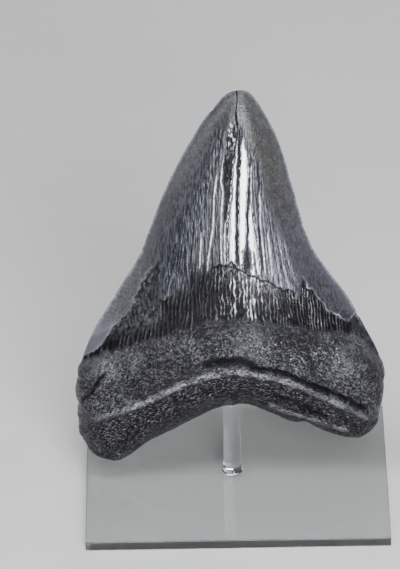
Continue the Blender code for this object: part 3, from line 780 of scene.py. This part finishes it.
def build_tooth():
    bm = bmesh.new()
    layers = {name: bm.verts.layers.float.new(name) for name in MASKS + ("labial",)}
    outline = Outline()
    add_face_of_tooth(bm, outline, True, layers)
    add_face_of_tooth(bm, outline, False, layers)
    bmesh.ops.remove_doubles(bm, verts=bm.verts, dist=0.001 * MM)
    mesh = bpy.data.meshes.new("fossil_tooth")
    bm.to_mesh(mesh)
    bm.free()

    flat = mesh.attributes.new("flat", "FLOAT_VECTOR", "POINT")
    places = np.empty(len(mesh.vertices) * 3)
    mesh.vertices.foreach_get("co", places)
    flat.data.foreach_set("vector", places / MM)

    tooth = bpy.data.objects.new("fossil_tooth", mesh)
    bpy.context.scene.collection.objects.link(tooth)
    plate_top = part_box("stand_base")[1].z
    turn = Matrix.Rotation(-LEAN, 4, "X")
    mesh.transform(Matrix.Translation((TOOTH_X, 0.0, plate_top + SOCKET_HEIGHT)) @ turn)
    thin_labial_side(tooth)
    tooth.data.shade_smooth()
    tooth.data.materials.append(tooth_material())
    return tooth


def thin_labial_side(tooth):
    """Takes triangles from the labial face only, which is smooth, to leave more for the lingual one."""
    mesh = tooth.data
    labial = np.empty(len(mesh.vertices), np.float32)
    mesh.attributes["labial"].data.foreach_get("value", labial)
    group = tooth.vertex_groups.new(name="labial")
    group.add(np.nonzero(labial > 0.5)[0].tolist(), 1.0, "REPLACE")
    thin = tooth.modifiers.new("thin", "DECIMATE")
    thin.ratio = (1 + BACK_SHARE) / 2
    thin.vertex_group = group.name
    evaluated = tooth.evaluated_get(bpy.context.evaluated_depsgraph_get())
    thinned = bpy.data.meshes.new_from_object(evaluated)
    tooth.modifiers.clear()
    tooth.data = thinned
    tooth.vertex_groups.clear()


# ---- materials

class Nodes:
    """Small helper that adds shader nodes to a material and links them."""

    def __init__(self, name):
        self.material = bpy.data.materials.new(name)
        self.material.use_nodes = True
        self.tree = self.material.node_tree

    def set_inputs(self, node, inputs):
        """Links the inputs that are given a socket, and gives the others their value."""
        for key, value in inputs.items():
            if isinstance(value, bpy.types.NodeSocket):
                self.tree.links.new(value, node.inputs[key])
            else:
                node.inputs[key].default_value = value

    def add(self, kind, inputs, **settings):
        """Adds a node, and returns its outputs."""
        node = self.tree.nodes.new(kind)
        for key, value in settings.items():
            setattr(node, key, value)
        self.set_inputs(node, inputs)
        return node.outputs

    def finish(self, inputs):
        """Sets inputs of the material's shader, and returns the material."""
        self.set_inputs(self.tree.nodes["Principled BSDF"], inputs)
        return self.material

    def attribute(self, name, output="Fac"):
        return self.add("ShaderNodeAttribute", {}, attribute_name=name)[output]

    def maths(self, operation, a, b, clamp=False):
        return self.add("ShaderNodeMath", {0: a, 1: b}, operation=operation, use_clamp=clamp)[0]

    def times(self, a, b):
        return self.maths("MULTIPLY", a, b)

    def mix(self, share, a, b):
        """A share of colour b in colour a."""
        return self.add("ShaderNodeMix", {0: share, 6: a, 7: b}, data_type="RGBA")[2]

    def lay(self, colour, *layers):
        """Lays colours over one another, each given with its share."""
        for share, over in layers:
            colour = self.mix(share, colour, over)
        return colour

    def blend(self, share, a, b):
        """A share of the number b in the number a."""
        return self.add("ShaderNodeMix", {0: share, 2: a, 3: b}, data_type="FLOAT")[0]

    def noise(self, coordinates, scale, detail=3.0, roughness=0.55, distortion=0.0):
        """Noise with one scale, or with one for each axis."""
        if isinstance(scale, tuple):
            coordinates = self.add("ShaderNodeMapping", {"Vector": coordinates, "Scale": scale})[0]
            scale = 1.0
        return self.add("ShaderNodeTexNoise", {
            "Vector": coordinates, "Scale": scale, "Detail": detail, "Roughness": roughness,
            "Distortion": distortion})[0]

    def ramp(self, value, low, high, to_low=0.0, to_high=1.0):
        return self.add("ShaderNodeMapRange", {"Value": value, "From Min": low, "From Max": high,
                                               "To Min": to_low, "To Max": to_high})[0]

    def bump(self, height, distance, strength=1.0):
        inputs = {"Height": height, "Distance": distance, "Strength": strength}
        return self.add("ShaderNodeBump", inputs)[0]


class ToothNodes(Nodes):
    """Nodes of the tooth's material: the values that its mesh holds, and patterns that several share."""

    def __init__(self):
        super().__init__("fossil tooth")
        self.flat = self.attribute("flat", "Vector")
        self.mask = {name: self.attribute(name) for name in MASKS}
        place = self.add("ShaderNodeSeparateXYZ", {"Vector": self.flat})
        self.s, self.t = place["X"], place["Z"]
        self.mottle = self.noise(self.flat, 0.40, 4.0, 0.65)
        self.specks = self.ramp(self.noise(self.flat, 1.4, 2.0, 0.7), 0.42, 0.58)
        self.streaks = self.ramp(self.noise(self.flat, (1.5, 1.5, 0.09), 2.0, 0.6), 0.42, 0.60)
        self.grain_root(place["Y"])

    def grain_root(self, y):
        """Finer grain of the root, over the grain that its mesh has. It follows the root's long ridge."""
        bent = self.add("ShaderNodeCombineXYZ", {"X": self.s, "Y": y, "Z": self.mask["level"]})[0]
        self.beads = self.ramp(self.noise(bent, (1.6, 2.0, 2.8), 1.0, 0.7, 0.4), 0.38, 0.62)
        self.salt = self.noise(bent, (1.1, 2.0, 3.2), 1.0, 0.6, 0.4)
        dust = self.noise(self.flat, (2.5, 2.5, 3.2), 1.0, 0.6, 0.5)
        flecks = self.blend(self.mask["below_ridge"], self.ramp(dust, 0.55, 0.65),
                            self.ramp(self.salt, 0.59, 0.67))
        self.flecks = self.times(flecks, self.blend(self.mask["skin"], 1.0, 0.2))
        grain = self.maths("ADD", self.times(self.mask["grain"], 0.40), self.times(self.beads, 0.60))
        grain = self.maths("ADD", grain, self.ramp(dust, 0.35, 0.65, -0.12, 0.12), clamp=True)
        self.grain = self.blend(self.times(self.mask["skin"], 0.6), grain, 0.48)


def enamel_colour(n):
    """Grey enamel, olive towards the tip, with dark blotches, painted shade, and pale edges that are
    partly painted light.
    """
    clouds = n.ramp(n.noise(n.flat, (0.05, 0.05, 0.03)), 0.35, 0.65)
    tipward = n.ramp(n.t, 45.0, 100.0, 0.0, 0.8)
    clouds = n.maths("ADD", n.times(clouds, 0.4), tipward, clamp=True)
    # Painted shade: the tip's left and the crown's left side are darkened, as if lit from the right
    tip = n.times(n.ramp(n.t, 94.0, 106.0), n.ramp(n.s, 3.0, -4.0, 0.0, 0.65))
    left = n.times(n.ramp(n.t, 84.0, 66.0), n.ramp(n.s, -6.0, -20.0, 0.0, 0.55))
    shade = n.mask["shade"]
    return n.lay(
        n.mix(clouds, *ENAMEL),
        (n.ramp(n.mottle, 0.42, 0.58, 0.0, 0.70), ENAMEL_BLOTCH),
        (n.times(n.specks, 0.50), ENAMEL_SPECK),
        (n.maths("MAXIMUM", tip, left), ENAMEL_PAINTED_SHADE),
        # Painted shade beside the grooves, with pale streaks in it
        (n.times(shade, 0.85), ENAMEL_SHADE),
        (n.times(shade, n.times(n.streaks, 0.35)), ENAMEL_STREAK),
        # Pale edges: partly wear, partly painted highlight
        (n.times(n.mask["edge"], 0.7), ENAMEL_EDGE_AND_HIGHLIGHT))


def slate_colour(n):
    """Slate-blue streaks, with pale hairlines at the right."""
    hairlines = n.ramp(n.noise(n.flat, (3.2, 3.2, 0.06), 1.0, 0.6), 0.42, 0.60)
    return n.lay(
        n.mix(n.streaks, *SLATE),
        (n.times(n.specks, 0.4), SLATE_SPECK),
        (n.times(n.ramp(n.s, 4.0, 11.0, 0.0, 0.7), hairlines), SLATE_HAIRLINE))


def root_colour(n):
    """Charcoal grain, pitted and flecked below the long ridge, with painted shade there and in the
    hollows, and painted light on the swells.
    """
    below, swell = n.mask["below_ridge"], n.mask["swell"]
    patches = n.noise(n.flat, (0.11, 0.11, 0.15), 1.0)
    swells = n.times(n.ramp(swell, 0.55, 1.0), n.ramp(n.grain, 0.2, 0.8, 0.15, 0.75))
    return n.lay(
        n.mix(n.ramp(n.grain, 0.30, 0.85), *CHARCOAL),
        # Pitted grain below the long ridge, darker there as painted shade
        (below, n.mix(n.ramp(n.grain, 0.50, 0.85), *PITTED_AND_SHADED)),
        (n.ramp(n.mottle, 0.35, 0.65, 0.45, 0.0), ROOT_BLOTCH),
        # Painted shade above the root's ridge
        (n.times(n.mask["shade"], 0.75), ROOT_SHADE),
        (n.ramp(patches, 0.38, 0.60, 0.65, 0.0), ROOT_PATCH),
        # Pale flecks, partly painted glints
        (n.times(n.flecks, n.blend(below, 0.45, 0.80)), n.mix(below, *ROOT_FLECKS_AND_GLINTS)),
        # Painted shade in the root's hollows, painted light on its swells
        (n.ramp(swell, 0.1, 0.45, 0.65, 0.0), ROOT_HOLLOW_PAINTED_SHADE),
        (swells, ROOT_SWELL_PAINTED_LIGHT))


def tooth_colour(n):
    """The kinds of surface, then dark cracks and painted shade, pale wear and painted highlights, and the
    root's pale ridges and its grooves darkened as painted shade.
    """
    worn, ridge_line = n.mask["worn"], n.mask["ridge_line"]
    ridges = n.times(n.ramp(ridge_line, 0.1, 0.9, 0.0, 0.9), n.ramp(n.salt, 0.44, 0.60))
    # Painted shade in the root's grooves and hollow
    grooves = n.times(n.ramp(ridge_line, -0.2, -1.0, 0.0, 0.95), n.ramp(n.salt, 0.50, 0.66, 1.0, 0.6))
    return n.lay(
        enamel_colour(n),
        (n.mask["grooved"], slate_colour(n)),
        (n.mask["broken"], n.mix(n.ramp(n.mottle, 0.35, 0.65), *DENTINE)),
        (n.mask["root"], root_colour(n)),
        # Dark cracks, with painted shade in recesses
        (n.times(n.mask["cracks_and_shade"], 0.9), CRACK_AND_SHADE_BLACK),
        # Pale wear, with painted highlights on lit rib tops and chipped edges
        (n.times(worn, 0.8), WORN_GREY_AND_HIGHLIGHT),
        (n.ramp(worn, 0.50, 0.85), WORN_PALE_AND_HIGHLIGHT),
        (ridges, RIDGE_PALE),
        (grooves, CRACK_AND_SHADE_BLACK))


def tooth_roughness(n):
    """Satin enamel, with each other kind of surface laid over it."""
    patchy = n.noise(n.flat, (0.9, 0.9, 0.5), 4.0)
    roughness = n.ramp(patchy, 0.3, 0.7, 0.30, 0.42)
    for name, least, most in ROUGHNESS:
        roughness = n.blend(n.mask[name], roughness, n.ramp(patchy, 0.3, 0.7, least, most))
    return roughness


def tooth_polish(n):
    """The weight of the glossy coat: full on broad strips and worn lips, next to none in cracks."""
    coat = n.blend(n.mask["worn"], n.blend(n.streaks, 0.02, 0.18), 1.0)
    coat = n.blend(n.mask["grooved"], n.blend(n.specks, 0.16, 0.05), coat)
    coat = n.times(coat, n.blend(n.mask["cracks_and_shade"], 1.0, 0.1))
    coat = n.times(coat, n.blend(n.mask["shade"], 1.0, 0.3))
    coat = n.blend(n.mask["broken"], coat, n.times(n.mask["worn"], 0.9))
    root = n.ramp(n.grain, 0.40, 0.9, 0.0, 0.50)
    root = n.times(root, n.blend(n.mask["below_ridge"], 1.0, 0.3))
    root = n.times(root, n.ramp(n.mask["ridge_line"], -0.4, 0.0))
    return n.maths("MAXIMUM", n.blend(n.mask["root"], coat, root), n.mask["broad"])


def fine_relief(n):
    """Pitted enamel, striae along its grooves, and beads and flecks on the root."""
    striae = n.noise(n.flat, (1.8, 1.8, 0.10), 3.0)
    pits = n.noise(n.flat, 2.2, 4.0, 0.6)
    height = n.blend(n.mask["grooved"], n.times(pits, 0.11), n.times(striae, 0.40))
    height = n.blend(n.mask["broad"], height, n.times(striae, 0.05))
    height = n.blend(n.mask["broken"], height, n.times(pits, 0.20))
    root = n.times(n.maths("ADD", n.beads, n.flecks), 0.18)
    return n.bump(n.blend(n.mask["root"], height, root), 1.0 * MM)


def tooth_material():
    n = ToothNodes()
    normal = fine_relief(n)
    return n.finish({
        "Base Color": tooth_colour(n), "Roughness": tooth_roughness(n), "IOR": 1.5,
        "Specular IOR Level": 0.1, "Coat Weight": tooth_polish(n), "Coat Roughness": 0.16,
        "Coat IOR": 2.4, "Normal": normal, "Coat Normal": normal})


def acrylic_material():
    """Clear acrylic, smeared a little, with frosted sawn edges."""
    n = Nodes("clear acrylic")
    place = n.add("ShaderNodeTexCoord", {})["Object"]
    smears = n.ramp(n.noise(place, 60.0, 3.0), 0.4, 0.7, 0.01, 0.06)
    frost = n.ramp(n.noise(place, (900.0, 900.0, 60.0), 2.0), 0.3, 0.7, 0.30, 0.45)
    scratches = n.noise(place, (40.0, 900.0, 40.0), 2.0)
    return n.finish({
        "Base Color": (0.97, 0.985, 0.98, 1.0), "Transmission Weight": 1.0, "IOR": 1.49,
        "Roughness": n.blend(n.attribute("sawn"), smears, frost),
        "Normal": n.bump(scratches, 0.01 * MM, 0.3)})


def floor_material():
    n = Nodes("pale floor")
    place = n.add("ShaderNodeTexCoord", {})["Object"]
    paper = n.ramp(n.noise(place, 9.0, 4.0), 0.35, 0.65)
    return n.finish({"Base Color": n.mix(paper, grey(0.52, 0.97), grey(0.55, 0.97)),
                     "Roughness": 0.75, "Specular IOR Level": 0.2})


# ---- stand

def new_piece(name, bm, material, sharp_angle=30):
    mesh = bpy.data.meshes.new(name)
    bm.to_mesh(mesh)
    bm.free()
    mesh.shade_smooth()
    mesh.set_sharp_from_angle(angle=math.radians(sharp_angle))
    mesh.materials.append(material)
    obj = bpy.data.objects.new(name, mesh)
    bpy.context.scene.collection.objects.link(obj)
    return obj


def build_plate(acrylic):
    """The square plate, with its sawn edges eased by a small bevel."""
    low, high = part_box("stand_base")
    bm = bmesh.new()
    bmesh.ops.create_cube(bm, size=1.0)
    bmesh.ops.scale(bm, vec=high - low, verts=bm.verts)
    bmesh.ops.translate(bm, vec=(low + high) / 2, verts=bm.verts)
    bmesh.ops.bevel(bm, geom=bm.edges[:], offset=PLATE_BEVEL, segments=3, profile=0.5, affect="EDGES")
    sawn = bm.faces.layers.float.new("sawn")
    for face in bm.faces:
        face[sawn] = 1.0 if abs(face.normal.z) < 0.5 else 0.0
    return new_piece("acrylic_plate", bm, acrylic, sharp_angle=5)


def build_rod(acrylic):
    """The turned rod, with a fillet of cement at its foot, up into the root of the tooth."""
    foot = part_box("stand_base")[1].z + FOOT_GAP
    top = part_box("stand_rod")[1].z
    profile = [(0.0, foot)]
    for turn in np.linspace(0, math.pi / 2, FOOT_STEPS + 1):
        out, up = FOOT_FLARE * (1 - math.sin(turn)), FOOT_RISE * (1 - math.cos(turn))
        profile.append((ROD_RADIUS + out, foot + up))
    profile += [(ROD_RADIUS, top - ROD_END_BEVEL), (ROD_RADIUS - ROD_END_BEVEL, top), (0.0, top)]
    bm = bmesh.new()
    verts = [bm.verts.new((ROD_X + x, 0.0, z)) for x, z in profile]
    edges = [bm.edges.new(pair) for pair in zip(verts, verts[1:])]
    bmesh.ops.spin(bm, geom=verts + edges, axis=(0, 0, 1), cent=(ROD_X, 0, 0), dvec=(0, 0, 0),
                   angle=2 * math.pi, steps=64, use_merge=True, use_duplicate=False)
    bmesh.ops.remove_doubles(bm, verts=bm.verts, dist=0.001 * MM)
    bmesh.ops.recalc_face_normals(bm, faces=bm.faces)
    return new_piece("acrylic_rod", bm, acrylic)


# ---- stage

def build_floor():
    bm = bmesh.new()
    bmesh.ops.create_circle(bm, cap_ends=True, segments=96, radius=FLOOR_RADIUS)
    floor = new_piece("floor", bm, floor_material())
    floor.location.z = -FLOOR_DROP


def add_softbox(name, azimuth, elevation, distance, width, height, power, colour):
    """An area light facing the tooth. Azimuth 0 is on the camera's side and 90 to the right of it."""
    light = bpy.data.lights.new(name, "AREA")
    light.shape = "RECTANGLE"
    light.size = width
    light.size_y = height
    light.energy = power
    light.color = colour
    lamp = bpy.data.objects.new(name, light)
    bpy.context.scene.collection.objects.link(lamp)
    a, e = math.radians(azimuth), math.radians(elevation)
    away = Vector((math.sin(a) * math.cos(e), -math.cos(a) * math.cos(e), math.sin(e)))
    lamp.location = LIGHTS_AIM + away * distance
    lamp.rotation_euler = away.to_track_quat("Z", "Y").to_euler()
    lamp.visible_camera = False


def light_studio():
    for softbox in SOFTBOXES:
        add_softbox(*softbox)
    world = bpy.data.worlds.new("studio")
    world.use_nodes = True
    background = world.node_tree.nodes["Background"]
    background.inputs["Color"].default_value = WORLD_COLOUR
    background.inputs["Strength"].default_value = WORLD_STRENGTH
    bpy.context.scene.world = world


def add_camera():
    """The long-lens camera, placed so that the rod's foot lies at its pixel of the frame."""
    forward = Vector((0.0, math.cos(ELEVATION), -math.sin(ELEVATION)))
    level_right = Vector((1.0, 0.0, 0.0))
    level_up = level_right.cross(forward)
    right = level_right * math.cos(ROLL) - level_up * math.sin(ROLL)
    up = level_right * math.sin(ROLL) + level_up * math.cos(ROLL)
    foot = Vector((ROD_X, 0.0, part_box("stand_base")[1].z))
    pixel = MM / PIXELS_PER_MM
    across = (FOOT_PIXEL[0] - FRAME_WIDTH / 2) * pixel
    above = (FRAME_HEIGHT / 2 - FOOT_PIXEL[1]) * pixel
    data = bpy.data.cameras.new("camera")
    data.sensor_width = SENSOR
    data.lens = FOCAL_PIXELS / FRAME_HEIGHT * SENSOR
    data.clip_start = 0.1
    data.clip_end = 100.0
    camera = bpy.data.objects.new("camera", data)
    bpy.context.scene.collection.objects.link(camera)
    turn = Matrix((right, up, -forward)).transposed()
    place = foot - forward * (FOCAL_PIXELS * pixel) - right * across - up * above
    camera.matrix_world = Matrix.Translation(place) @ turn.to_4x4()
    bpy.context.scene.camera = camera


# ---- putting it together

add_camera()
build_floor()
light_studio()

tooth = build_tooth()
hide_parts("tooth")

acrylic = acrylic_material()
plate = build_plate(acrylic)
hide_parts("stand_base")
rod = build_rod(acrylic)
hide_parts("stand_rod")

for piece in (tooth, plate, rod):
    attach(piece, "root")
